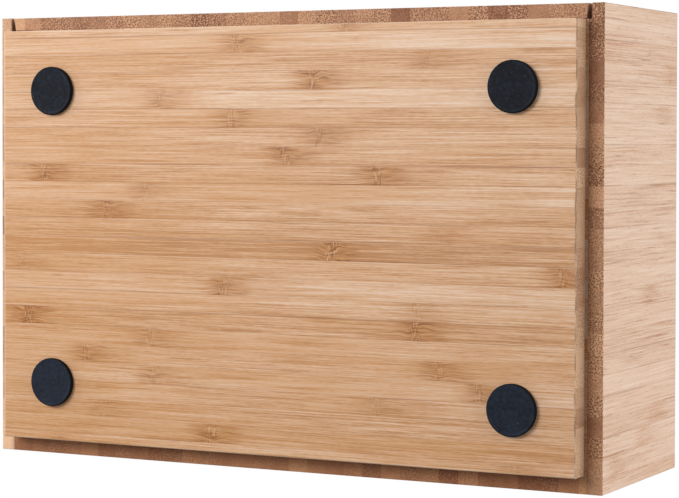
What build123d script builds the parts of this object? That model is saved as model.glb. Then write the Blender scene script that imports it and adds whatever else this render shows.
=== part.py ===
from build123d import *
import os

# A box-form cutting board made of laminated bamboo, in millimetres.
# The cutting board is the lid of a shallow case, a drawer slides out of the front,
# and a plinth board with four rubber feet is glued under the floor.
# +Z is up, the front (the drawer) faces -Y, and the origin is on the table
# under the middle of the case.

# Overall sizes
WIDTH = 380.0
DEPTH = 256.0
WALL_HEIGHT = 115.0

# Board thicknesses
WALL = 8.8
FLOOR = 8.8
PLINTH = 12.5
CUTTING_BOARD = 20.0

# Feet
FOOT_RADIUS = 14.0
FOOT_THICKNESS = 2.6
FOOT_EDGE = 0.5
TAPE_RADIUS = 13.0
TAPE_THICKNESS = 0.4
FOOT_X = 144.5
FOOT_Y = 84.5

# Plinth board, set back from the outer faces of the walls
PLINTH_INSET_SIDE = 10.4
PLINTH_INSET_BACK = 9.6

# Cutting board's juice groove
GROOVE_INSET = 16.0
GROOVE_WIDTH = 10.0
GROOVE_DEPTH = 4.0
GROOVE_CORNER = 14.0
GROOVE_ROUNDING = 3.0

# Drawer front
FRONT = 7.9
FRONT_RECESS = 0.2
FRONT_HALF_WIDTH = 181.1
FRONT_BACK_BEVEL = 1.5
FRONT_TOP_GAP = 1.0
REBATE_DEPTH = 1.5
NOTCH_WIDTH = 92.0
NOTCH_DEPTH = 24.0
NOTCH_CORNER = 12.0

# Drawer box
DRAWER_WALL = 8.8
DRAWER_HEIGHT = 84.0
DRAWER_SIDE_GAP = 1.6
DRAWER_LIFT = 0.3
DRAWER_STOP_GAP = 0.3
DRAWER_BACK_GAP = 2.2
BOTTOM = 5.0
BOTTOM_RAISE = 6.0
BOTTOM_TONGUE = 4.0
FRONT_TONGUE = 3.5
TONGUE_PLAY = 0.2

# Dowels
DOWEL_RADIUS = 2.0
DOWEL_IN_FACE = 5.0
DOWEL_IN_EDGE = 9.0
DOWEL_TIP = 0.4
HOLE_PLAY = 0.05
HOLE_EXTRA_DEPTH = 0.4
FRONT_DOWEL_IN_FACE = 4.5

# Edge rounding of the boards
ROUNDING = 0.8

# Levels and faces that follow from the sizes above
plinth_z = FOOT_THICKNESS + TAPE_THICKNESS
wall_z = plinth_z + PLINTH
top_z = wall_z + WALL_HEIGHT
board_z = top_z - CUTTING_BOARD
floor_top_z = wall_z + FLOOR
inner_x = WIDTH / 2 - WALL
front_y = -DEPTH / 2
back_y = DEPTH / 2
back_inner_y = back_y - WALL
face_y = front_y + FRONT_RECESS
front_inner_y = face_y + FRONT
floor_front_y = front_inner_y + DRAWER_STOP_GAP
drawer_half_x = inner_x - DRAWER_SIDE_GAP
drawer_inner_x = drawer_half_x - DRAWER_WALL
drawer_z = floor_top_z + DRAWER_LIFT
drawer_top_z = drawer_z + DRAWER_HEIGHT
drawer_back_y = back_inner_y - DRAWER_BACK_GAP
drawer_inner_back_y = drawer_back_y - DRAWER_WALL
bottom_z = drawer_z + BOTTOM_RAISE
front_top_z = board_z - FRONT_TOP_GAP


def block(x0, x1, y0, y1, z0, z1):
    """A square-edged board between two corners."""
    low = (Align.MIN, Align.MIN, Align.MIN)
    return Pos(x0, y0, z0) * Box(x1 - x0, y1 - y0, z1 - z0, align=low)


def edges_at(shape, axis, *limits):
    """Edges along an axis whose middle lies at every (axis, value) limit given."""
    found = []
    for edge in shape.edges().filter_by(axis):
        middle = edge.center()
        place = {Axis.X: middle.X, Axis.Y: middle.Y, Axis.Z: middle.Z}
        if all(abs(place[along] - value) < 0.01 for along, value in limits):
            found.append(edge)
    return found


def pegs(points, into, radius, behind, ahead, tip=0.0):
    """Round pegs across a joint, from behind each point to ahead of it."""
    direction = Vector(*into)
    solids = []
    for point in points:
        start = Vector(*point) - direction * behind
        peg = Cylinder(radius, behind + ahead, align=(Align.CENTER, Align.CENTER, Align.MIN))
        if tip:
            peg = chamfer(peg.edges().filter_by(GeomType.CIRCLE), tip)
        solids.append(Plane(origin=start, z_dir=direction) * peg)
    return solids


def holes(points, into, behind, ahead):
    radius = DOWEL_RADIUS + HOLE_PLAY
    return pegs(points, into, radius, behind + HOLE_EXTRA_DEPTH, ahead + HOLE_EXTRA_DEPTH)


class DowelRow:
    """A row of dowels: drilled into the face of one board and the edge of another."""

    def __init__(self, points, into, in_face=DOWEL_IN_FACE):
        self.points = points
        self.into = into
        self.in_face = in_face

    def dowels(self):
        return pegs(self.points, self.into, DOWEL_RADIUS, self.in_face, DOWEL_IN_EDGE, DOWEL_TIP)

    def drill(self, board):
        for hole in holes(self.points, self.into, self.in_face, DOWEL_IN_EDGE):
            board -= hole
        return board


def mirrored_rows(points):
    """The same row of dowels in the right (+1) and left (-1) side, pointing inwards."""
    pair = {}
    for side in (1, -1):
        pair[side] = DowelRow([(side * x, y, z) for x, y, z in points], (-side, 0, 0))
    return pair


floor_mid_z = wall_z + FLOOR / 2
back_mid_y = back_y - WALL / 2
board_mid_z = board_z + CUTTING_BOARD / 2
drawer_back_mid_y = drawer_back_y - DRAWER_WALL / 2
drawer_side_mid_x = drawer_half_x - DRAWER_WALL / 2

side_floor = mirrored_rows([(inner_x, y, floor_mid_z) for y in (-85, 0, 85)])
side_back = mirrored_rows([(inner_x, back_mid_y, z) for z in (40, 66, 92)])
side_top = mirrored_rows([(inner_x, y, board_mid_z) for y in (-100, -34, 34, 100)])
back_top = DowelRow([(x, back_mid_y, board_z) for x in (-132, -44, 44, 132)], (0, 0, -1))
back_floor = DowelRow([(x, back_inner_y, floor_mid_z) for x in (-120, 0, 120)], (0, -1, 0))
drawer_rear = mirrored_rows([(drawer_inner_x, drawer_back_mid_y, z) for z in (48, 70, 92)])
drawer_face = {
    side: DowelRow(
        [(side * drawer_side_mid_x, front_inner_y, z) for z in (48, 70, 92)],
        (0, 1, 0),
        FRONT_DOWEL_IN_FACE,
    )
    for side in (1, -1)
}


def drill_all(board, *rows):
    for row in rows:
        board = row.drill(board)
    return board


def side_panel(side):
    """Full-depth side, with a stopped rebate at the front for the drawer front's end."""
    outer_x = side * WIDTH / 2
    inner, outer = sorted((side * inner_x, outer_x))
    panel = block(inner, outer, front_y, back_y, wall_z, top_z)
    edges = edges_at(panel, Axis.Z, (Axis.X, outer_x))
    edges += edges_at(panel, Axis.Y, (Axis.X, outer_x))
    panel = fillet(edges, ROUNDING)
    rebate_inner, rebate_outer = sorted((side * inner_x, side * (inner_x + REBATE_DEPTH)))
    panel -= block(rebate_inner, rebate_outer, front_y, floor_front_y, wall_z, board_z)
    return drill_all(panel, side_floor[side], side_back[side], side_top[side])


def back_panel():
    panel = block(-inner_x, inner_x, back_inner_y, back_y, wall_z, board_z)
    return drill_all(panel, side_back[1], side_back[-1], back_top, back_floor)


def floor_board():
    board = block(-inner_x, inner_x, floor_front_y, back_inner_y, wall_z, floor_top_z)
    return drill_all(board, side_floor[1], side_floor[-1], back_floor)


def plinth_board():
    half_x = WIDTH / 2 - PLINTH_INSET_SIDE
    board = block(-half_x, half_x, floor_front_y, back_y - PLINTH_INSET_BACK, plinth_z, wall_z)
    lower_edges = [edge for edge in board.edges() if abs(edge.center().Z - plinth_z) < 0.01]
    return fillet(lower_edges, ROUNDING)


def cutting_board():
    """Top board with a rounded groove that runs round its rim to catch juice."""
    board = block(-inner_x, inner_x, front_y, back_y, board_z, top_z)
    edges = edges_at(board, Axis.X, (Axis.Y, front_y), (Axis.Z, top_z))
    edges += edges_at(board, Axis.X, (Axis.Y, back_y), (Axis.Z, top_z))
    board = fillet(edges, ROUNDING)
    width = 2 * (inner_x - GROOVE_INSET)
    depth = DEPTH - 2 * GROOVE_INSET
    field_width = width - 2 * GROOVE_WIDTH
    field_depth = depth - 2 * GROOVE_WIDTH
    ring = RectangleRounded(width, depth, GROOVE_CORNER)
    ring -= RectangleRounded(field_width, field_depth, GROOVE_CORNER - GROOVE_WIDTH)
    channel = Pos(0, 0, top_z - GROOVE_DEPTH) * extrude(ring, GROOVE_DEPTH + 1)
    lower_edges = [edge for edge in channel.edges() if abs(edge.center().Z - top_z + GROOVE_DEPTH) < 0.01]
    board -= fillet(lower_edges, GROOVE_ROUNDING)
    return drill_all(board, side_top[1], side_top[-1], back_top)


def rubber_foot(x, y):
    foot = Cylinder(FOOT_RADIUS, FOOT_THICKNESS, align=(Align.CENTER, Align.CENTER, Align.MIN))
    rim = [edge for edge in foot.edges().filter_by(GeomType.CIRCLE) if edge.center().Z < FOOT_EDGE]
    return Pos(x, y, 0) * chamfer(rim, FOOT_EDGE)


def foot_adhesive_discs():
    discs = []
    for x in (-FOOT_X, FOOT_X):
        for y in (-FOOT_Y, FOOT_Y):
            disc = Cylinder(TAPE_RADIUS, TAPE_THICKNESS, align=(Align.CENTER, Align.CENTER, Align.MIN))
            discs.append(Pos(x, y, FOOT_THICKNESS) * disc)
    return discs


def bottom_slot(x_reach, y0, y1):
    """Space of the drawer bottom, from which its grooves in the other boards are cut."""
    return block(-x_reach, x_reach, y0, y1, bottom_z, bottom_z + BOTTOM)


def drawer_front():
    """Inset front with back-bevelled ends and a finger notch in its top edge."""
    narrow = FRONT_HALF_WIDTH - FRONT_BACK_BEVEL
    outline = Polyline(
        (-FRONT_HALF_WIDTH, face_y),
        (FRONT_HALF_WIDTH, face_y),
        (narrow, front_inner_y),
        (-narrow, front_inner_y),
        close=True,
    )
    board = Pos(0, 0, wall_z) * extrude(make_face(outline), front_top_z - wall_z)
    notch = RectangleRounded(NOTCH_WIDTH, 2 * NOTCH_DEPTH, NOTCH_CORNER)
    board -= Pos(0, front_inner_y + 1, front_top_z) * extrude(Rot(90, 0, 0) * notch, FRONT + 2)
    reach = drawer_inner_x + BOTTOM_TONGUE
    board -= bottom_slot(reach, front_inner_y - FRONT_TONGUE, front_inner_y)
    return drill_all(board, drawer_face[1], drawer_face[-1])


def drawer_side(side):
    inner, outer = sorted((side * drawer_inner_x, side * drawer_half_x))
    board = block(inner, outer, front_inner_y, drawer_back_y, drawer_z, drawer_top_z)
    reach = drawer_inner_x + BOTTOM_TONGUE
    board -= bottom_slot(reach, front_inner_y, drawer_inner_back_y + BOTTOM_TONGUE)
    return drill_all(board, drawer_face[side], drawer_rear[side])


def drawer_back():
    x = drawer_inner_x
    y = drawer_inner_back_y
    board = block(-x, x, y, drawer_back_y, drawer_z, drawer_top_z)
    board -= bottom_slot(x, y, y + BOTTOM_TONGUE)
    return drill_all(board, drawer_rear[1], drawer_rear[-1])


def drawer_bottom():
    reach = drawer_inner_x + BOTTOM_TONGUE - TONGUE_PLAY
    front = front_inner_y - FRONT_TONGUE + TONGUE_PLAY
    back = drawer_inner_back_y + BOTTOM_TONGUE - TONGUE_PLAY
    return bottom_slot(reach, front, back)


def save(name, shape):
    if isinstance(shape, list):
        shape = Compound(children=shape)
    export_step(shape, f"parts/{name}.step")


os.makedirs("parts", exist_ok=True)

save("cutting_board", cutting_board())
save("right_side_panel", side_panel(1))
save("left_side_panel", side_panel(-1))
save("back_panel", back_panel())
save("floor_board", floor_board())
save("plinth_board", plinth_board())
for depth_name, y in (("front", -FOOT_Y), ("back", FOOT_Y)):
    for side_name, x in (("left", -FOOT_X), ("right", FOOT_X)):
        save(f"rubber_foot_{depth_name}_{side_name}", rubber_foot(x, y))
save("foot_adhesive_discs", foot_adhesive_discs())

save("floor_to_side_dowels", side_floor[1].dowels() + side_floor[-1].dowels())
save("back_to_side_dowels", side_back[1].dowels() + side_back[-1].dowels())
save("board_to_side_dowels", side_top[1].dowels() + side_top[-1].dowels())
save("board_to_back_dowels", back_top.dowels())
save("floor_to_back_dowels", back_floor.dowels())

save("drawer_front", drawer_front())
save("drawer_right_side", drawer_side(1))
save("drawer_left_side", drawer_side(-1))
save("drawer_back", drawer_back())
save("drawer_bottom", drawer_bottom())
save("drawer_front_dowels", drawer_face[1].dowels() + drawer_face[-1].dowels())
save("drawer_back_dowels", drawer_rear[1].dowels() + drawer_rear[-1].dowels())
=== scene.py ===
import math
import random
from dataclasses import dataclass

import bmesh
import bpy
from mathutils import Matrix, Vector, noise


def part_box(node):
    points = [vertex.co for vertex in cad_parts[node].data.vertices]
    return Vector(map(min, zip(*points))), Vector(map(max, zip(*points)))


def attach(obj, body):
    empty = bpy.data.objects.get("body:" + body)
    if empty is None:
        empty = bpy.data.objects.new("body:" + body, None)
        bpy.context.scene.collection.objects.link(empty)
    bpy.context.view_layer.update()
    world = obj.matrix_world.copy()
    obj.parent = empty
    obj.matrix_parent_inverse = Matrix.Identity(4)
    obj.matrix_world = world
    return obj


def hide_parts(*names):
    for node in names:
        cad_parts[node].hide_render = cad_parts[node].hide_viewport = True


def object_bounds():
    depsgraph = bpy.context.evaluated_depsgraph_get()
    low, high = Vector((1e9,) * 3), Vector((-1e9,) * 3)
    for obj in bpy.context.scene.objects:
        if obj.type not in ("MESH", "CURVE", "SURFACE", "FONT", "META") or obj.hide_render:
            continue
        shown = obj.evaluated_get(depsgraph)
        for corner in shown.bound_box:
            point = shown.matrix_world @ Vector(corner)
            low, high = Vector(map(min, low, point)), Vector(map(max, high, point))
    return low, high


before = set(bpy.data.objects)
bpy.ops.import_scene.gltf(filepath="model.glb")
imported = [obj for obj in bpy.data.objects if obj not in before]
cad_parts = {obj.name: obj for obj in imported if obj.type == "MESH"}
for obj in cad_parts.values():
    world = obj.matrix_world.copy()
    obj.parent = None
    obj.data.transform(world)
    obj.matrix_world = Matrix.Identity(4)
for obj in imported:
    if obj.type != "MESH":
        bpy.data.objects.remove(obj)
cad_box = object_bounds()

# A bamboo cutting board on a case with a drawer, seen from underneath.
# Objects are in metres. Numbers that describe the wood are in millimetres.
MM = 0.001
X, Y, Z = 0, 1, 2

# The plinth board's strips, front to back: how light each one is, from 0 to 1
PLINTH_TONES = (
    0.55, 0.65, 0.40, 0.45, 0.65, 0.40, 0.45, 0.45, 0.40, 0.55, 0.35, 0.35,
    0.10, 0.40, 0.60, 0.50, 0.30, 0.45, 0.45, 0.55, 0.40, 0.40, 0.35, 0.45,
)

# Node marks of the plinth board: x, y and strength
PLINTH_MARKS = (
    (44, -117, 0.6), (-22, -110, 0.7), (94, -98, 0.35), (26, -89, 0.9), (-72, -80, 0.5),
    (-25, -69, 0.6), (29, -57, 0.6), (9, -48, 0.8), (-151, -38, 0.8), (65, -37, 0.9),
    (-82, -28, 0.3), (-108, -18, 0.8), (103, -6, 0.25), (37, 4, 1.4), (-167, 14, 0.3),
    (173, 14, 0.7), (-30, 25, 0.7), (88, 35, 0.35), (-162, 45, 1.1), (88, 46, 1.0),
    (-78, 56, 0.5), (-122, 66, 0.6), (103, 66, 0.6), (-75, 77, 0.5), (125, 77, 0.6),
    (65, 87, 0.3), (-110, 97, 0.4), (-38, 106, 0.9), (-143, 115, 0.3), (147, 115, 0.3),
)

# Node marks of the right side panel: z, y and strength
RIGHT_MARKS = (
    (85, 30, 0.25), (106, -70, 0.2), (98, 96, 0.2), (77, 104, 0.2), (34, 118, 0.3), (118, -92, 0.2),
)

# Cut ends that stand out on the lower edges: how light each is, by number from the left or front
# The drawer front's first cut end, at its left, is made pale as a painted highlight on its edge
FRONT_END_TONES = {0: 1.05, 1: 0.6, 9: 0.6, 20: 0.65, 27: 0.1, 28: 0.25}
BACK_END_TONES = {0: 0.3, 1: 0.4, 26: 0.3, 28: 0.15, 29: 0.2}
RIGHT_END_TONES = {0: 0.2, 1: 0.15, 2: 0.3, 3: 0.2, 4: 0.25, 8: 0.35}
LEFT_END_TONES = {0: 0.6, 21: 0.8, 22: 0.9, 23: 1.0}


# ---------------------------------------------------------------- shader arithmetic

# A mix node has inputs and an output for each kind of value: these are the ones for colours
MIX_INPUTS = (0, 6, 7)
MIX_OUTPUT = 2


class Field:
    """A number that varies over a surface. Arithmetic on it adds nodes to its tree."""

    def __init__(self, socket):
        self.socket = socket
        self.tree = socket.id_data

    def apply(self, operation, *others):
        node = self.tree.nodes.new("ShaderNodeMath")
        node.operation = operation
        for entry, value in zip(node.inputs, (self, *others)):
            feed(self.tree, entry, value)
        return Field(node.outputs[0])

    def __add__(self, other):
        return self.apply("ADD", other)

    def __sub__(self, other):
        return self.apply("SUBTRACT", other)

    def __mul__(self, other):
        return self.apply("MULTIPLY", other)

    def __truediv__(self, other):
        return self.apply("DIVIDE", other)

    def __abs__(self):
        return self.apply("ABSOLUTE")

    def least(self, other):
        return self.apply("MINIMUM", other)

    def most(self, other):
        return self.apply("MAXIMUM", other)

    def rising(self, low, high):
        """0 up to low, 1 from high on, and a smooth step in between (low may be the larger)."""
        node = self.tree.nodes.new("ShaderNodeMapRange")
        node.interpolation_type = "SMOOTHSTEP"
        feed(self.tree, node.inputs["Value"], self)
        if low > high:
            low, high = high, low
            node.inputs["To Min"].default_value = 1.0
            node.inputs["To Max"].default_value = 0.0
        node.inputs["From Min"].default_value = low
        node.inputs["From Max"].default_value = high
        return Field(node.outputs["Result"])


def feed(tree, entry, value):
    """Puts a number, a colour or another node's output into a node's input."""
    if isinstance(value, Field):
        tree.links.new(value.socket, entry)
    elif isinstance(value, bpy.types.NodeSocket):
        tree.links.new(value, entry)
    else:
        entry.default_value = value


def colour(red, green, blue):
    """A linear colour from display values of 0 to 255."""
    linear = []
    for value in (red, green, blue):
        share = value / 255
        linear.append(share / 12.92 if share <= 0.04045 else ((share + 0.055) / 1.055) ** 2.4)
    return (*linear, 1.0)


def vector(tree, x, y, z):
    """Three numbers or fields as one vector."""
    node = tree.nodes.new("ShaderNodeCombineXYZ")
    for entry, value in zip(node.inputs, (x, y, z)):
        feed(tree, entry, value)
    return node.outputs[0]


def clouds(tree, x, y, z, detail=2.0, roughness=0.5):
    """Smooth random values about 0, mostly within -0.5 to 0.5."""
    node = tree.nodes.new("ShaderNodeTexNoise")
    node.inputs["Scale"].default_value = 1.0
    node.inputs["Detail"].default_value = detail
    node.inputs["Roughness"].default_value = roughness
    feed(tree, node.inputs["Vector"], vector(tree, x, y, z))
    return Field(node.outputs["Fac"]) - 0.5


def cells(tree, *place):
    """Distance to the nearest of a scatter of points, one for each unit of area or of space."""
    node = tree.nodes.new("ShaderNodeTexVoronoi")
    node.voronoi_dimensions = f"{len(place)}D"
    node.inputs["Scale"].default_value = 1.0
    feed(tree, node.inputs["Vector"], vector(tree, *place, *[0.0] * (3 - len(place))))
    return Field(node.outputs["Distance"])


def mix(tree, share, first, second):
    """The first colour where the share is 0, the second where it is 1."""
    node = tree.nodes.new("ShaderNodeMix")
    node.data_type = "RGBA"
    for index, value in zip(MIX_INPUTS, (share, first, second)):
        feed(tree, node.inputs[index], value)
    return node.outputs[MIX_OUTPUT]


def ramp(tree, share, stops):
    """A colour that follows a share of 0 to 1 through evenly spaced stops."""
    node = tree.nodes.new("ShaderNodeValToRGB")
    elements = node.color_ramp.elements
    while len(elements) < len(stops):
        elements.new(0.5)
    for index, stop in enumerate(stops):
        elements[index].position = index / (len(stops) - 1)
        elements[index].color = stop
    feed(tree, node.inputs[0], share)
    return node.outputs[0]


def attribute(tree, name):
    """The three numbers that each face of a board carries under this name."""
    node = tree.nodes.new("ShaderNodeAttribute")
    node.attribute_type = "GEOMETRY"
    node.attribute_name = name
    split = tree.nodes.new("ShaderNodeSeparateXYZ")
    tree.links.new(node.outputs["Vector"], split.inputs[0])
    return [Field(output) for output in split.outputs]


def position(tree):
    """Where a point of the piece is, in millimetres."""
    place = tree.nodes.new("ShaderNodeTexCoord")
    split = tree.nodes.new("ShaderNodeSeparateXYZ")
    tree.links.new(place.outputs["Object"], split.inputs[0])
    return [Field(output) * (1 / MM) for output in split.outputs]


def new_material(name, specular=0.5):
    """A new material, with its node tree and its shader."""
    material = bpy.data.materials.new(name)
    material.use_nodes = True
    tree = material.node_tree
    shader = tree.nodes["Principled BSDF"]
    shader.inputs["Specular IOR Level"].default_value = specular
    return material, tree, shader


def bump(tree, shader, height, depth_mm):
    """Relief on a shader, as deep as this where the height goes from 0 to 1."""
    node = tree.nodes.new("ShaderNodeBump")
    node.inputs["Distance"].default_value = depth_mm * MM
    feed(tree, node.inputs["Height"], height)
    tree.links.new(node.outputs[0], shader.inputs["Normal"])


# ---------------------------------------------------------------- bamboo

FACE_STOPS = (
    colour(184, 130, 82), colour(206, 156, 112), colour(218, 174, 136),
    colour(227, 190, 158), colour(234, 205, 180),
)
WALL_STOPS = (
    colour(180, 134, 106), colour(204, 165, 137), colour(220, 188, 164),
    colour(227, 200, 179), colour(233, 211, 193),
)
WARM_COLOUR = colour(206, 146, 84)
MARK_COLOUR = colour(184, 124, 64)
MARK_DARK_LINE = colour(136, 70, 12)
MARK_PALE_LINE = colour(238, 202, 160)
GLUE_COLOUR = colour(136, 76, 18)
BUNDLE_COLOUR = colour(216, 170, 130)
PORE_COLOUR = colour(88, 50, 32)
# Colours of the painted highlight on arrises, and of the painted shade in corners and gaps
HIGHLIGHT_COLOUR = colour(246, 216, 186)
PAINTED_SHADE_COLOUR = colour(100, 56, 26)


# In the patterns below, a place in millimetres is multiplied by a frequency: a low one along the
# fibres and a higher one across them, so that the pattern is drawn out along the strip. The limits
# of a distance's rising() are millimetres too.

def mark_shape(tree, distance, across, side, seed):
    """A node mark: its tapering core, the narrow column of the node itself, and long trails."""
    slant = side * clouds(tree, seed * 9.0, seed, 0.3, detail=0.0) * 8.0
    wander = clouds(tree, distance * 0.04, across * 0.3, seed, detail=2.0) * 7.0
    frayed = clouds(tree, distance * 0.02, across * 1.1, seed + 5.0, detail=2.0)
    place = distance + slant + wander
    frayed_place = place + frayed * 18.0
    core = frayed_place.rising(-17.0, -1.0) * frayed_place.rising(24.0, 2.0)
    column = abs(place).rising(4.0, 1.6)
    far_place = distance + frayed * 90.0
    trail = far_place.rising(-26.0, -4.0) * far_place.rising(52.0, 6.0)
    return core, column, trail


def glue_shape(tree, along, side, half_width, seed, force):
    """The glue line at both edges of a strip, in broken runs."""
    from_edge = half_width - abs(side * half_width)
    line = from_edge.rising(0.65, 0.15) * force
    runs = clouds(tree, along * 0.010, seed * 4.0, side, detail=2.0).rising(-0.08, 0.16)
    return (line * (runs * 0.85 + 0.15)).least(1.0)


def long_grain(tree, bamboo, along, across, depth, strip):
    """Colour, roughness and relief of bamboo seen along its fibres."""
    middle, half_width, seed = strip
    tone, *marks = attribute(tree, "look")
    *forces, glue_force = attribute(tree, "force")
    side = (across - middle) / half_width

    # The fibres swirl beside the strip's two node marks
    swirl = clouds(tree, along * 0.085, across * 0.13, seed, detail=1.0)
    near = [abs(along - mark).rising(16.0, 2.0) * force for mark, force in zip(marks, forces)]
    waved = across + swirl * ((near[0] + near[1]) * 5.5 + 0.4)
    shapes = [
        [shape * force for shape in mark_shape(tree, along - mark, waved, side, mark_seed)]
        for mark, force, mark_seed in zip(marks, forces, (seed, seed + 7.0))
    ]
    core, column, trail = (first + second for first, second in zip(*shapes))
    glue = glue_shape(tree, along, side, half_width, seed, glue_force)

    # Fibres in the light, from broad bands to fine hairs, and a lean from one edge to the other
    drift = clouds(tree, along * 0.011, across * 0.05, seed * 3.0, detail=1.0)
    bands = clouds(tree, along * 0.004, waved * 0.30, depth * 0.30 + seed, detail=1.0)
    streaks = clouds(tree, along * 0.009, waved * 0.80, depth * 0.80 + seed, detail=2.0, roughness=0.7)
    fibres = clouds(tree, along * 0.023, waved * 1.7, depth * 1.7 + seed, detail=2.0, roughness=0.6)
    hairs = clouds(tree, along * 0.22, waved * 1.9, depth * 1.9 - seed, detail=1.0)
    lean = side * clouds(tree, seed * 5.0, seed, 0.5, detail=0.0) * 0.45
    streaked = bands * 0.36 + streaks * 0.72 + fibres * 2.00 + hairs * 0.60 + lean

    # Dark lines: long broken threads and short dashes
    thread = abs(clouds(tree, along * 0.006, waved * 0.62, depth * 0.62 - seed, detail=1.0))
    broken = clouds(tree, along * 0.022, waved * 0.4, seed * 2.0, detail=1.0).rising(-0.04, 0.12)
    threads = thread.rising(0.024, 0.006) * broken
    dashes = clouds(tree, along * 0.12, waved * 1.35, depth * 1.35 - seed, detail=1.0).rising(0.13, 0.24)

    light = tone + drift * 0.30 + streaked * bamboo.streak_depth
    light = light - dashes * bamboo.stroke_depth - threads * 0.34 - trail * 0.14 - core * 0.14
    warmth = clouds(tree, along * 0.006 + seed, across * 0.03, seed, detail=1.0)
    warmth = warmth - along * 0.0009 + across * 0.0006
    shown = ramp(tree, light, bamboo.stops)
    shown = mix(tree, warmth.rising(-0.16, 0.18) * bamboo.warm_depth, shown, WARM_COLOUR)

    # Node marks: a mottled patch with dark and pale lines, bent in the core, short in the column
    mottle = clouds(tree, along * 0.06, waved * 0.45, seed + 9.0, detail=2.0).rising(-0.16, 0.12)
    bent = clouds(tree, along * 0.07, waved * 1.25, seed + 3.0, detail=2.0, roughness=0.6)
    upright = clouds(tree, along * 1.2, across * 0.28, seed + 6.0, detail=1.0)
    shown = mix(tree, (core * (mottle * 0.26 + 0.44) + trail * 0.16).least(0.85), shown, MARK_COLOUR)
    dark_lines = core * bent.rising(0.0, 0.13) * 0.80 + column * upright.rising(0.02, 0.15) * 0.56
    shown = mix(tree, dark_lines.least(0.8), shown, MARK_DARK_LINE)
    pale_lines = core * bent.rising(-0.06, -0.18) * 0.32 + column * upright.rising(-0.04, -0.16) * 0.34
    shown = mix(tree, pale_lines.least(0.5), shown, MARK_PALE_LINE)
    shown = mix(tree, glue * 0.70, shown, GLUE_COLOUR)

    rough = fibres * 0.16 + streaks * 0.10 + 0.46
    relief = fibres * 0.8 + streaks * 0.6 - dashes * 0.5 - glue * 0.8 - core * bent + column * upright
    return shown, rough, relief


def end_grain(tree, bamboo, across, depth, seed):
    """Colour and relief of the cut ends: pale fibre bundles and dark pores, crowded or sparse."""
    tone = attribute(tree, "ends")[0]
    shift = clouds(tree, across * 0.6, depth * 0.6, seed, detail=1.0) * 0.8
    bundles = cells(tree, across * 0.78 + shift, depth * 0.78 + seed).rising(0.46, 0.20)
    pores = cells(tree, across * 0.84 - shift + seed, depth * 0.84).rising(0.40, 0.18)
    fine = clouds(tree, across * 1.3, depth * 1.3, seed + 4.0, detail=1.0)
    blotch = clouds(tree, across * 0.16, depth * 0.16, seed, detail=2.0)
    crowded = clouds(tree, seed * 7.0, 0.7, 0.2, detail=0.0).rising(-0.25, 0.15)
    contrast = (crowded * 0.8 + 0.2) * bamboo.dotted
    shown = ramp(tree, tone + blotch * 0.4 + fine * contrast, bamboo.ends)
    shown = mix(tree, bundles * contrast * 0.80, shown, BUNDLE_COLOUR)
    shown = mix(tree, pores * contrast * 0.85, shown, PORE_COLOUR)
    return shown, bundles * 0.5 - pores * 0.6


@dataclass
class Bamboo:
    """What a laminated bamboo board looks like.

    stops are its colours from dark to light, and ends those of its cut ends. The depths say how
    strong its streaks, short dark strokes and warm patches are, and dotted how strong the fibre
    bundles and pores are on its cut ends. The functions for a painted highlight and for painted
    shade give, from 0 to 1, how strongly each is laid on a point.
    """

    stops: tuple
    ends: tuple
    streak_depth: float = 1.0
    stroke_depth: float = 0.07
    warm_depth: float = 0.2
    dotted: float = 1.0
    specular: float = 0.5
    painted_highlight: object = None
    painted_shade: object = None

    def material(self, name, along, across):
        """Its fibres run along one axis, and its strips lie side by side on another."""
        material, tree, shader = new_material(name, self.specular)
        place = position(tree)
        depth = place[3 - along - across]
        strip = attribute(tree, "strip")
        is_end, is_flank, is_arris = attribute(tree, "side")
        face_colour, rough, relief = long_grain(tree, self, place[along], place[across], depth, strip)
        end_colour, end_relief = end_grain(tree, self, place[across], depth, strip[2])
        shown = mix(tree, is_end, face_colour, end_colour)
        # A painted highlight on arrises and painted shade in corners and gaps, over the wood's colour
        if self.painted_highlight:
            shown = mix(tree, self.painted_highlight(place, is_arris), shown, HIGHLIGHT_COLOUR)
        if self.painted_shade:
            shown = mix(tree, self.painted_shade(tree, place, is_flank, is_arris), shown, PAINTED_SHADE_COLOUR)
        tree.links.new(shown, shader.inputs["Base Color"])
        feed(tree, shader.inputs["Roughness"], rough + is_end * 0.16)
        bump(tree, shader, relief * (is_end * -1.0 + 1.0) + end_relief * is_end, 0.06)
        return material


# ---------------------------------------------------------------- boards

# Points closer than the first are one point, and closer to a cut than the second are on it
WELD = 1e-6
CUT_TOLERANCE = 1e-7

# The bevel, and the length and angle that an edge has to have to get one
BEVEL = 0.35 * MM
BEVELLED_LENGTH = 5 * MM
BEVELLED_ANGLE = math.radians(40)

# Faces that meet at less than the first angle are one flat face, and at less than the second are
# shaded as one
FLAT_ANGLE = math.radians(1)
SMOOTH_ANGLE = math.radians(50)

# Joints between strips
GROOVE_HALF_WIDTH = 0.12 * MM
GROOVE_DEPTH = 0.03 * MM
NARROWEST_STRIP = 1.5 * MM

# How squarely a face looks along the fibres to be a cut end, or across the strips to be a flank,
# and along some axis not to be an arris
END_FACING = 0.6
FLANK_FACING = 0.7
SQUARE_FACING = 0.97

# What is drawn for each strip: how much its cut ends' lightness varies, where its patterns start,
# and how strong its glue line can be
END_SPREAD = 0.17
PATTERN_START = (0, 40)
GLUE_RANGE = 1.5

# Drawn node marks: how far apart they lie in millimetres, where the first one lies as a share of
# that, and how strong they are. A mark that a strip doesn't have lies far away.
MARK_SPACING = (190, 290)
FIRST_MARK = (-0.2, 1.0)
MARK_STRENGTH = (0.3, 0.9)
FAR_AWAY = 9999.0

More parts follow.
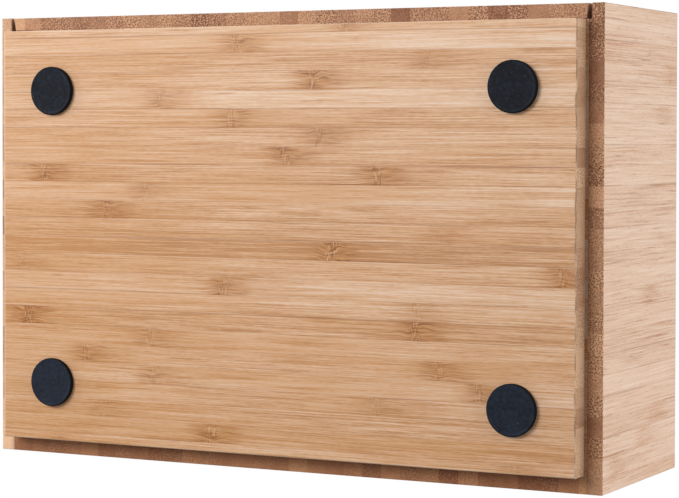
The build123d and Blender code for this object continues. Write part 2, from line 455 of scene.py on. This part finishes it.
# Dents on an arris: its own size, how close the cuts are that shape them, their depth and length,
# and how far the arris rises for their depth. The deepest ones lie on a stretch given as shares of
# the board's depth from its front, and the others are shallower.
ARRIS_WIDTH = 2 * MM
ARRIS_HEIGHT = 1.5 * MM
DENT_CUTS = 2.5 * MM
DENT_DEPTH = 1.1 * MM
DENT_LENGTH = 7.0 * MM
DENT_RISE = 0.4
DEEP_DENTS = (0.12, 0.5)
SHALLOW_DENTS = 0.5


def welded_copy(node):
    """The CAD board as a mesh whose flat faces are whole, not triangles."""
    mesh = bmesh.new()
    mesh.from_mesh(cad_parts[node].data)
    bmesh.ops.remove_doubles(mesh, verts=mesh.verts, dist=WELD)
    bmesh.ops.dissolve_limit(mesh, angle_limit=FLAT_ANGLE, verts=mesh.verts, edges=mesh.edges)
    return mesh


def soften(mesh, width):
    """A small bevel on the board's long, sharp outer edges."""
    edges = []
    for edge in mesh.edges:
        if len(edge.link_faces) == 2 and edge.calc_length() > BEVELLED_LENGTH:
            if edge.calc_face_angle_signed() > BEVELLED_ANGLE:
                edges.append(edge)
    bmesh.ops.bevel(
        mesh, geom=edges, offset=width, segments=2, profile=0.5, affect="EDGES", clamp_overlap=True
    )


def cut(mesh, axis, place):
    """Cuts every face at a plane square to an axis, and returns the new points."""
    point = Vector((0, 0, 0))
    point[axis] = place
    normal = Vector((0, 0, 0))
    normal[axis] = 1
    everything = mesh.verts[:] + mesh.edges[:] + mesh.faces[:]
    found = bmesh.ops.bisect_plane(
        mesh, geom=everything, dist=CUT_TOLERANCE, plane_co=point, plane_no=normal
    )
    return [item for item in found["geom_cut"] if isinstance(item, bmesh.types.BMVert)]


def glue_lines(mesh, axis, places):
    """A fine V-shaped groove at each joint between strips."""
    for place in places:
        cut(mesh, axis, place - GROOVE_HALF_WIDTH)
        cut(mesh, axis, place + GROOVE_HALF_WIDTH)
        middle = cut(mesh, axis, place)
        mesh.normal_update()
        inward = [(point, point.normal * GROOVE_DEPTH) for point in middle]
        for point, step in inward:
            point.co -= step


def dent_right_arris(mesh, low, high):
    """Small dents along a board's lower right arris, deepest in its front half."""
    for step in range(1, int((high[Y] - low[Y]) / DENT_CUTS)):
        cut(mesh, Y, low[Y] + step * DENT_CUTS)
    deep_start, deep_end = DEEP_DENTS
    for point in mesh.verts:
        if high[X] - point.co.x < ARRIS_WIDTH and point.co.z - low[Z] < ARRIS_HEIGHT:
            along = (point.co.y - low[Y]) / (high[Y] - low[Y])
            depth = DENT_DEPTH * (1.0 if deep_start < along < deep_end else SHALLOW_DENTS)
            dent = max(0.0, noise.noise(Vector((point.co.y / DENT_LENGTH, 2.5, 0.5)))) * depth
            point.co.x -= dent
            if point.co.z - low[Z] > WELD:
                point.co.z += dent * DENT_RISE


class Lamination:
    """How a board is glued up: the way its fibres run, its joints, and each strip's look.

    pitch is the strips' width and first the place of one joint, in millimetres. tones and
    end_tones give some strips' lightness by number, along their faces and on their cut ends;
    the others are drawn about the middle ones. Without marks, node marks are drawn too.
    """

    def __init__(
        self, node, along, across, pitch, seed, first=None, tones=None, end_tones=None, marks=(),
        spread=0.16, middle_tone=0.5, middle_end_tone=0.5, mark_force=1.0, glue=0.6,
        bevel=BEVEL, dented=False,
    ):
        self.node = node
        self.along = along
        self.across = across
        self.bevel = bevel
        self.dented = dented
        self.chance = random.Random(seed)
        self.low, self.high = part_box(node)
        low, high = self.low[across], self.high[across]
        start = low if first is None else first * MM
        place = start - pitch * MM * math.floor((start - low) / (pitch * MM))
        self.joints = []
        while place < high - NARROWEST_STRIP:
            if place > low + NARROWEST_STRIP:
                self.joints.append(place)
            place += pitch * MM
        edges = [place / MM for place in (low, *self.joints, high)]
        self.strips = []
        for index, (start, end) in enumerate(zip(edges, edges[1:])):
            tone = (tones or {}).get(index, self.chance.gauss(middle_tone, spread))
            end_tone = (end_tones or {}).get(index, self.chance.gauss(middle_end_tone, END_SPREAD))
            first_mark, second_mark = self.strip_marks(marks, start, end, mark_force)
            self.strips.append({
                "strip": ((start + end) / 2, (end - start) / 2, self.chance.uniform(*PATTERN_START)),
                "look": (tone, first_mark[0], second_mark[0]),
                "force": (first_mark[1], second_mark[1], self.chance.random() * glue * GLUE_RANGE),
                "ends": (end_tone, 0.0, 0.0),
            })

    def strip_marks(self, marks, start, end, mark_force):
        """The strip's two node marks, as (place along it, strength), far away where it has fewer."""
        found = [(along, force) for along, across, force in marks if start < across <= end]
        if not marks:
            spacing = self.chance.uniform(*MARK_SPACING)
            where = self.low[self.along] / MM + self.chance.uniform(*FIRST_MARK) * spacing
            while where < self.high[self.along] / MM:
                found.append((where, self.chance.uniform(*MARK_STRENGTH) * mark_force))
                where += spacing
        return (found + [(FAR_AWAY, 0.0)] * 2)[:2]

    def look(self, face):
        """The numbers that a face of the board carries."""
        place = face.calc_center_median()[self.across]
        numbers = dict(self.strips[sum(1 for joint in self.joints if joint < place)])
        normal = [abs(value) for value in face.normal]
        is_arris = max(normal) < SQUARE_FACING
        is_end = normal[self.along] > END_FACING
        is_flank = normal[self.across] > FLANK_FACING
        numbers["side"] = (float(is_end), float(is_flank), float(is_arris))
        return numbers


def stand_in(name, mesh, material, node, body, face_weight):
    """A detailed piece that stands for its CAD node. It uses up the mesh."""
    data = bpy.data.meshes.new(name)
    mesh.to_mesh(data)
    mesh.free()
    data.materials.append(material)
    piece = bpy.data.objects.new(name, data)
    bpy.context.scene.collection.objects.link(piece)
    weighted = piece.modifiers.new("normals", "WEIGHTED_NORMAL")
    weighted.weight = face_weight
    weighted.keep_sharp = True
    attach(piece, body)
    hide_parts(node)
    return piece


def laminated_board(plan, body, material):
    """A board with its bevels, joints and dents, and its strips' looks on its faces."""
    mesh = welded_copy(plan.node)
    soften(mesh, plan.bevel)
    glue_lines(mesh, plan.across, plan.joints)
    if plan.dented:
        dent_right_arris(mesh, plan.low, plan.high)
    mesh.normal_update()
    values = {"strip": [], "look": [], "force": [], "ends": [], "side": []}
    for face in mesh.faces:
        look = plan.look(face)
        for name, numbers in values.items():
            numbers.extend(look[name])
        face.smooth = True
    for edge in mesh.edges:
        edge.smooth = len(edge.link_faces) == 2 and edge.calc_face_angle() < SMOOTH_ANGLE
    piece = stand_in(plan.node + "_bamboo", mesh, material, plan.node, body, face_weight=100)
    for name, numbers in values.items():
        layer = piece.data.attributes.new(name, "FLOAT_VECTOR", "FACE")
        layer.data.foreach_set("vector", numbers)


# ---------------------------------------------------------------- feet

FOOT_SEGMENTS = 96
FOOT_ROUNDING = 0.55 * MM
FOOT_ROUNDING_STEPS = 5
SHARP_ANGLE = math.radians(40)

# The shallow dish in a foot's face, and how far in from its edge the dish ends and the rim is
DISH_DEPTH = 0.12 * MM
DISH_EDGE = 1.9 * MM
DISH_SLOPE = 1.55 * MM
RIM = 1.3 * MM

# How far a foot's side leans in, at a little over half its height and at its top
DRAFT_MIDDLE = 0.02 * MM
DRAFT_TOP = 0.12 * MM


def lathe(profile, centre):
    """A closed round mesh from a profile of (radius, height), from its bottom's middle to its top's."""
    mesh = bmesh.new()
    rings = []
    for radius, height in profile:
        if radius == 0:
            rings.append([mesh.verts.new((centre[X], centre[Y], height))])
            continue
        ring = []
        for step in range(FOOT_SEGMENTS):
            angle = 2 * math.pi * step / FOOT_SEGMENTS
            x = centre[X] + radius * math.cos(angle)
            y = centre[Y] + radius * math.sin(angle)
            ring.append(mesh.verts.new((x, y, height)))
        rings.append(ring)
    for lower, upper in zip(rings, rings[1:]):
        for step in range(FOOT_SEGMENTS):
            after = (step + 1) % FOOT_SEGMENTS
            corners = [
                lower[step % len(lower)], upper[step % len(upper)],
                upper[after % len(upper)], lower[after % len(lower)],
            ]
            mesh.faces.new(dict.fromkeys(corners))
    bmesh.ops.recalc_face_normals(mesh, faces=mesh.faces)
    for face in mesh.faces:
        face.smooth = True
    for edge in mesh.edges:
        edge.smooth = edge.calc_face_angle() < SHARP_ANGLE
    return mesh


def arc(centre, radius, start, end, steps):
    """Points of an arc in a profile, with angles in degrees."""
    points = []
    for step in range(steps + 1):
        angle = math.radians(start + (end - start) * step / steps)
        points.append((centre[0] + radius * math.cos(angle), centre[1] + radius * math.sin(angle)))
    return points


def rubber_foot(node, material):
    """A moulded disc: a shallow dish inside a low rim, a rounded edge and a slightly drafted side."""
    low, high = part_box(node)
    radius = (high[X] - low[X]) / 2
    top = high[Z]
    rounding_centre = (radius - FOOT_ROUNDING, FOOT_ROUNDING)
    profile = [
        (0, DISH_DEPTH), (radius * 0.45, DISH_DEPTH), (radius - DISH_EDGE, DISH_DEPTH),
        (radius - DISH_SLOPE, DISH_DEPTH * 0.6), (radius - RIM, 0.0),
        *arc(rounding_centre, FOOT_ROUNDING, -90, 0, FOOT_ROUNDING_STEPS),
        (radius - DRAFT_MIDDLE, top * 0.55), (radius - DRAFT_TOP, top), (0, top),
    ]
    centre = ((low[X] + high[X]) / 2, (low[Y] + high[Y]) / 2)
    mesh = lathe(profile, centre)
    stand_in(node + "_moulded", mesh, material, node, "case", face_weight=50)


def rubber():
    """Black rubber: a dusty, cloudy face, with a painted highlight on its rim and painted shade on its
    outline and side.

    The feet mirror each other, so one foot's place gives any point's distance from the edge of the
    foot that it is on.
    """
    material, tree, shader = new_material("rubber", specular=0.2)
    x, y, z = position(tree)
    low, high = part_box("rubber_foot_back_right")
    middle = (low + high) / 2 / MM
    radius = (high[X] - low[X]) / 2 / MM
    from_x, from_y = abs(x) - middle[X], abs(y) - middle[Y]
    from_edge = (from_x * from_x + from_y * from_y).apply("SQRT") * -1.0 + radius
    cloudy = clouds(tree, x * 0.10, y * 0.10, z * 0.10, detail=3.0)
    grain = clouds(tree, x * 3.0, y * 3.0, z * 3.0, detail=3.0)
    dust = cells(tree, x * 0.24, y * 0.24, z * 0.24).rising(0.07, 0.04)
    lint = clouds(tree, x * 0.5, y * 0.5, z * 0.5, detail=4.0).rising(0.15, 0.35)
    # Painted highlight in a ring just inside the edge, and painted shade in a dark outline at the edge
    rim = abs(from_edge - 1.5).rising(0.9, 0.2) * (cloudy * 0.8 + 0.12)
    painted_edge_shade = from_edge.rising(0.8, 0.2) * 0.7
    blotches = clouds(tree, x * 0.45, y * 0.45, z * 0.45, detail=3.0, roughness=0.7)
    # Painted light: the feet are lighter towards the back and towards the left
    painted_light_behind = y * 0.0030 - x * 0.0004
    tone = cloudy * 0.9 + blotches * 2.2 + painted_light_behind + 0.40
    shown = ramp(tree, tone, (colour(0, 3, 16), colour(28, 38, 54)))
    # The painted highlight on the rim, the dust, and painted shade on the outline and the side
    shown = mix(tree, rim, shown, colour(40, 52, 72))
    shown = mix(tree, dust * 0.35 + lint * 0.06, shown, colour(150, 150, 150))
    shown = mix(tree, painted_edge_shade.most(z.rising(0.15, 0.5)), shown, colour(4, 3, 3))
    tree.links.new(shown, shader.inputs["Base Color"])
    feed(tree, shader.inputs["Roughness"], grain * 0.15 + painted_edge_shade * 0.25 + 0.66)
    bump(tree, shader, grain, 0.05)
    return material


def dowel_wood():
    """Beech dowels: fine flecks and a fluted, slightly rough surface."""
    material, tree, shader = new_material("dowel_wood")
    x, y, z = position(tree)
    rings = clouds(tree, x * 0.9, y * 0.9, z * 0.9, detail=3.0)
    flecks = cells(tree, x * 1.4, y * 1.4, z * 1.4).rising(0.22, 0.08)
    shown = ramp(tree, rings + 0.5, (colour(190, 146, 104), colour(224, 190, 150)))
    shown = mix(tree, flecks * 0.5, shown, colour(150, 100, 66))
    tree.links.new(shown, shader.inputs["Base Color"])
    feed(tree, shader.inputs["Roughness"], rings * 0.2 + 0.62)
    bump(tree, shader, rings - flecks, 0.08)
    return material


def adhesive_foam():
    """White foam tape with open cells."""
    material, tree, shader = new_material("adhesive_foam", specular=0.3)
    x, y, z = position(tree)
    pores = cells(tree, x * 2.4, y * 2.4, z * 2.4)
    shown = ramp(tree, pores, (colour(150, 148, 140), colour(226, 224, 214)))
    tree.links.new(shown, shader.inputs["Base Color"])
    feed(tree, shader.inputs["Roughness"], pores * 0.1 + 0.7)
    bump(tree, shader, pores, 0.08)
    return material


# ---------------------------------------------------------------- the object

def corners(node):
    """A CAD node's lowest and highest corners, in millimetres."""
    return [[round(value / MM, 2) for value in corner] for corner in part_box(node)]


# Faces of the case and the drawer front, in millimetres
PLINTH_SIDE = corners("plinth_board")[1][X]
WALL_INSIDE, CASE_FRONT, WALL_FOOT = corners("right_side_panel")[0]
FLOOR_FRONT = corners("floor_board")[0][Y]
FRONT_LEFT = corners("drawer_front")[0][X]
FRONT_INSIDE = corners("drawer_front")[1][Y]

WALL_ENDS = (colour(128, 76, 48), colour(214, 164, 126))
LEFT_ENDS = (colour(160, 110, 78), colour(244, 200, 162))
BACK_ENDS = (colour(128, 70, 38), colour(200, 142, 98))
BASE_ENDS = (colour(146, 104, 74), colour(218, 182, 146))


def base_arris_highlight(place, is_arris):
    """Painted highlight on the plinth board's arrises, strongest along the left one."""
    at_left = place[X].rising(1.3 - PLINTH_SIDE, 0.4 - PLINTH_SIDE)
    return (is_arris * 0.40).most(at_left * 0.45)


def base_painted_shade(tree, place, is_flank, is_arris):
    """Painted shade: darker up towards the floor board, beyond the plinth board's sides, and on its
    right arris.
    """
    corner = place[Z].rising(WALL_FOOT - 8.5, WALL_FOOT - 0.2) * 0.24
    beyond = abs(place[X]).rising(PLINTH_SIDE - 0.4, PLINTH_SIDE + 0.3)
    gap = beyond * place[Z].rising(WALL_FOOT - 0.3, WALL_FOOT - 0.1) * 0.55
    ragged = clouds(tree, place[Y] * 0.12, place[Z] * 0.5, 3.0, detail=3.0).rising(-0.20, 0.10)
    at_right = is_arris * place[X].rising(PLINTH_SIDE - 1.6, PLINTH_SIDE - 0.6)
    return corner.most(gap).most(at_right * (ragged * 0.50 + 0.15))


def deep_in_gap(place):
    """How deep a point is in the gap at the drawer front's ends, from 0 at the front to 1."""
    return place[Y].rising(CASE_FRONT + 0.4, CASE_FRONT + 3.4)


def side_painted_shade(tree, place, is_flank, is_arris):
    """Painted shade along the inner corner of a side panel's lower edge, and in its rebate."""
    inner = abs(place[X])
    at_corner = inner.rising(WALL_INSIDE + 3.3, WALL_INSIDE + 0.2)
    lower_edge = at_corner * place[Z].rising(WALL_FOOT + 0.7, WALL_FOOT) * 0.26
    at_rebate = inner.rising(WALL_INSIDE + 2.8, WALL_INSIDE + 1.4)
    rebate = at_rebate * place[Y].rising(FLOOR_FRONT + 0.6, FLOOR_FRONT - 0.2)
    return lower_edge.most(rebate * (deep_in_gap(place) * 0.4 + 0.2))


def flank_painted_shade(tree, place, is_flank, is_arris):
    """Painted shade on the flanks, which sit in a gap."""
    return is_flank * 0.55


def front_painted_shade(tree, place, is_flank, is_arris):
    """Painted shade deep in the gaps at its ends, and a painted shadow on the inside of its lower edge
    at the left end.
    """
    inner_side = place[Y].rising(FRONT_INSIDE - 1.5, FRONT_INSIDE - 0.5)
    left_end = place[X].rising(FRONT_LEFT + 21.1, FRONT_LEFT + 9.1)
    lower_edge = place[Z].rising(WALL_FOOT + 0.7, WALL_FOOT + 0.3)
    # Painted shadow on the inside of the lower edge, at the left end
    joint = inner_side * left_end * lower_edge
    return (is_flank * (deep_in_gap(place) * 0.45 + 0.1)).most(joint * 0.75)


def build_flat_boards():
    """The plinth board, the cutting board and the floor board, with strips along the width."""
    base = Bamboo(
        FACE_STOPS, BASE_ENDS, warm_depth=0.34, dotted=0.7, painted_highlight=base_arris_highlight, painted_shade=base_painted_shade,
    ).material("bamboo_base", X, Y)
    top = Bamboo(FACE_STOPS, BASE_ENDS, dotted=0.7).material("bamboo_top", X, Y)
    plinth = Lamination(
        "plinth_board", X, Y, pitch=10.38, first=-0.9, tones=dict(enumerate(PLINTH_TONES)),
        marks=PLINTH_MARKS, glue=0.8, seed=3, dented=True,
    )
    board = Lamination(
        "cutting_board", X, Y, pitch=12.8, middle_tone=0.55, middle_end_tone=0.6,
        mark_force=0.7, seed=4,
    )
    floor = Lamination("floor_board", X, Y, pitch=10.4, middle_tone=0.8, seed=5, bevel=0.1 * MM)
    for plan, material in ((plinth, base), (board, top), (floor, base)):
        laminated_board(plan, "case", material)


def build_walls():
    """The side panels, the back panel and the drawer front, with upright strips."""
    wall = {"streak_depth": 0.60, "stroke_depth": 0.21, "warm_depth": 0.08, "specular": 0.35}
    right_look = Bamboo(WALL_STOPS, WALL_ENDS, painted_shade=side_painted_shade, **wall)
    left_look = Bamboo(WALL_STOPS, LEFT_ENDS, dotted=0.4, painted_shade=side_painted_shade, **wall)
    back_look = Bamboo(WALL_STOPS, BACK_ENDS, dotted=0.35, painted_shade=flank_painted_shade, **wall)
    front_look = Bamboo(WALL_STOPS, WALL_ENDS, painted_shade=front_painted_shade, **wall)
    right = Lamination(
        "right_side_panel", Z, Y, pitch=10.9, first=-87.1, end_tones=RIGHT_END_TONES,
        marks=RIGHT_MARKS, spread=0.06, middle_end_tone=0.6, seed=6,
    )
    left = Lamination(
        "left_side_panel", Z, Y, pitch=10.9, first=-87.1, end_tones=LEFT_END_TONES,
        spread=0.08, mark_force=0.4, seed=7,
    )
    back = Lamination(
        "back_panel", Z, X, pitch=11.5, first=-168.2, end_tones=BACK_END_TONES,
        spread=0.10, middle_end_tone=0.45, mark_force=0.4, seed=8,
    )
    front = Lamination(
        "drawer_front", Z, X, pitch=11.45, first=-162.0, end_tones=FRONT_END_TONES,
        spread=0.12, middle_end_tone=0.46, mark_force=0.4, seed=9,
    )
    for plan, body, material in (
        (right, "case", right_look.material("bamboo_side", Z, Y)),
        (left, "case", left_look.material("bamboo_side_pale", Z, Y)),
        (back, "case", back_look.material("bamboo_upright_rear", Z, X)),
        (front, "drawer", front_look.material("bamboo_upright", Z, X)),
    ):
        laminated_board(plan, body, material)


def build_drawer_box():
    """The drawer's sides, back and bottom."""
    bamboo = Bamboo(WALL_STOPS, WALL_ENDS)
    along_y = bamboo.material("bamboo_drawer_long", Y, Z)
    along_x = bamboo.material("bamboo_drawer_wide", X, Z)
    flat = bamboo.material("bamboo_drawer_flat", X, Y)
    for node, along, across, pitch, seed, material in (
        ("drawer_left_side", Y, Z, 14.0, 20, along_y),
        ("drawer_right_side", Y, Z, 14.0, 21, along_y),
        ("drawer_back", X, Z, 14.0, 23, along_x),
        ("drawer_bottom", X, Y, 18.0, 24, flat),
    ):
        plan = Lamination(
            node, along, across, pitch, seed=seed, spread=0.12, middle_tone=0.6,
            middle_end_tone=0.6, mark_force=0.5,
        )
        laminated_board(plan, "drawer", material)


def build_feet():
    """The four feet, which share one rubber."""
    material = rubber()
    for depth_name in ("front", "back"):
        for side_name in ("left", "right"):
            rubber_foot(f"rubber_foot_{depth_name}_{side_name}", material)


def finish_small_parts():
    """Wood and foam on the dowels and the adhesive discs, whose CAD shapes stay."""
    finishes = {"dowels": dowel_wood(), "adhesive_discs": adhesive_foam()}
    for name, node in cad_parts.items():
        for ending, material in finishes.items():
            if name.endswith(ending):
                for entry in node.material_slots:
                    entry.material = material


# ---------------------------------------------------------------- stage, light, camera

# Softboxes: name, direction from the object, distance, size, power and tint
SOFTBOXES = (
    ("key_below", (-0.36, -0.36, -0.90), 1.5, 0.8, 13.9, (1.0, 0.985, 0.97)),
    ("left_below", (-1.0, -0.25, -0.28), 1.5, 0.9, 9.5, (1.0, 1.0, 1.0)),
    ("fill_below", (1.0, -0.20, -0.12), 1.5, 1.0, 13.0, (1.0, 1.0, 1.0)),
    ("key_above", (-0.55, -0.70, 0.85), 1.5, 0.9, 13.0, (1.0, 0.985, 0.96)),
    ("fill_above", (0.8, 0.55, 0.65), 1.6, 1.1, 8.0, (1.0, 1.0, 1.0)),
)
AMBIENT = 0.27

# The floor's size, how far it lies under the feet, and where it starts and ends fading
FLOOR_HALF = 1.6
FLOOR_DROP = 0.0004
FLOOR_FADE = (0.32, 0.85)

# The camera's place, its turn in degrees, and its lens
CAMERA_PLACE = (0.60515, -0.05688, -1.08610)
CAMERA_TURN = (178.6587, -27.3328, -0.1390)
CAMERA_SENSOR = 36.0
CAMERA_LENS = 119.86
CAMERA_SHIFT = -0.08


def area_light(name, direction, distance, size, power, tint):
    """A square softbox in a direction from the object's middle, facing it."""
    middle = (cad_box[0] + cad_box[1]) / 2
    data = bpy.data.lights.new(name, "AREA")
    data.shape = "SQUARE"
    data.size = size
    data.energy = power
    data.color = tint
    light = bpy.data.objects.new(name, data)
    towards = Vector(direction).normalized()
    light.location = middle + towards * distance
    light.rotation_mode = "QUATERNION"
    light.rotation_quaternion = towards.to_track_quat("Z", "Y")
    bpy.context.scene.collection.objects.link(light)


def white_world():
    """A white background, and a softer white light on the object from all sides."""
    world = bpy.data.worlds.new("white")
    world.use_nodes = True
    tree = world.node_tree
    tree.nodes.clear()
    output = tree.nodes.new("ShaderNodeOutputWorld")
    blend = tree.nodes.new("ShaderNodeMixShader")
    path = tree.nodes.new("ShaderNodeLightPath")
    tree.links.new(path.outputs["Is Camera Ray"], blend.inputs[0])
    # Input 1 lights the object, and input 2 is what the camera sees
    for entry, strength in ((1, AMBIENT), (2, 1.0)):
        background = tree.nodes.new("ShaderNodeBackground")
        background.inputs["Color"].default_value = (1, 1, 1, 1)
        background.inputs["Strength"].default_value = strength
        tree.links.new(background.outputs[0], blend.inputs[entry])
    tree.links.new(blend.outputs[0], output.inputs["Surface"])
    bpy.context.scene.world = world


def pale_floor():
    """A floor that shows only from above, and fades into the white background."""
    square = ((-1, -1), (1, -1), (1, 1), (-1, 1))
    points = [(x * FLOOR_HALF, y * FLOOR_HALF, 0) for x, y in square]
    data = bpy.data.meshes.new("floor")
    data.from_pydata(points, [], [(0, 1, 2, 3)])
    floor = bpy.data.objects.new("floor", data)
    floor.location = (0, 0, -FLOOR_DROP)
    bpy.context.scene.collection.objects.link(floor)
    material = bpy.data.materials.new("floor")
    material.use_nodes = True
    tree = material.node_tree
    tree.nodes.clear()
    output = tree.nodes.new("ShaderNodeOutputMaterial")
    diffuse = tree.nodes.new("ShaderNodeBsdfDiffuse")
    clear = tree.nodes.new("ShaderNodeBsdfTransparent")
    blend = tree.nodes.new("ShaderNodeMixShader")
    geometry = tree.nodes.new("ShaderNodeNewGeometry")
    place = tree.nodes.new("ShaderNodeTexCoord")
    length = tree.nodes.new("ShaderNodeVectorMath")
    length.operation = "LENGTH"
    tree.links.new(place.outputs["Object"], length.inputs[0])
    from_middle = Field(length.outputs["Value"])
    speckle = clouds(tree, from_middle * 2.0, 0.0, 0.0)
    pale = ramp(tree, speckle + 0.5, (colour(246, 246, 245), colour(250, 250, 250)))
    tree.links.new(pale, diffuse.inputs[0])
    hidden = Field(geometry.outputs["Backfacing"]).most(from_middle.rising(*FLOOR_FADE))
    tree.links.new(hidden.socket, blend.inputs[0])
    tree.links.new(diffuse.outputs[0], blend.inputs[1])
    tree.links.new(clear.outputs[0], blend.inputs[2])
    tree.links.new(blend.outputs[0], output.inputs["Surface"])
    data.materials.append(material)
    floor.visible_diffuse = False
    floor.visible_glossy = False
    floor.visible_transmission = False
    floor.visible_shadow = False


def set_camera():
    """A long lens below the front right, looking up at the case's underside."""
    data = bpy.data.cameras.new("camera")
    data.sensor_width = CAMERA_SENSOR
    data.lens = CAMERA_LENS
    data.shift_y = CAMERA_SHIFT
    camera = bpy.data.objects.new("camera", data)
    camera.location = CAMERA_PLACE
    camera.rotation_euler = [math.radians(angle) for angle in CAMERA_TURN]
    bpy.context.scene.collection.objects.link(camera)
    bpy.context.scene.camera = camera
    bpy.context.scene.view_settings.view_transform = "Standard"


build_flat_boards()
build_walls()
build_drawer_box()
build_feet()
finish_small_parts()
pale_floor()
white_world()
for softbox in SOFTBOXES:
    area_light(*softbox)
set_camera()
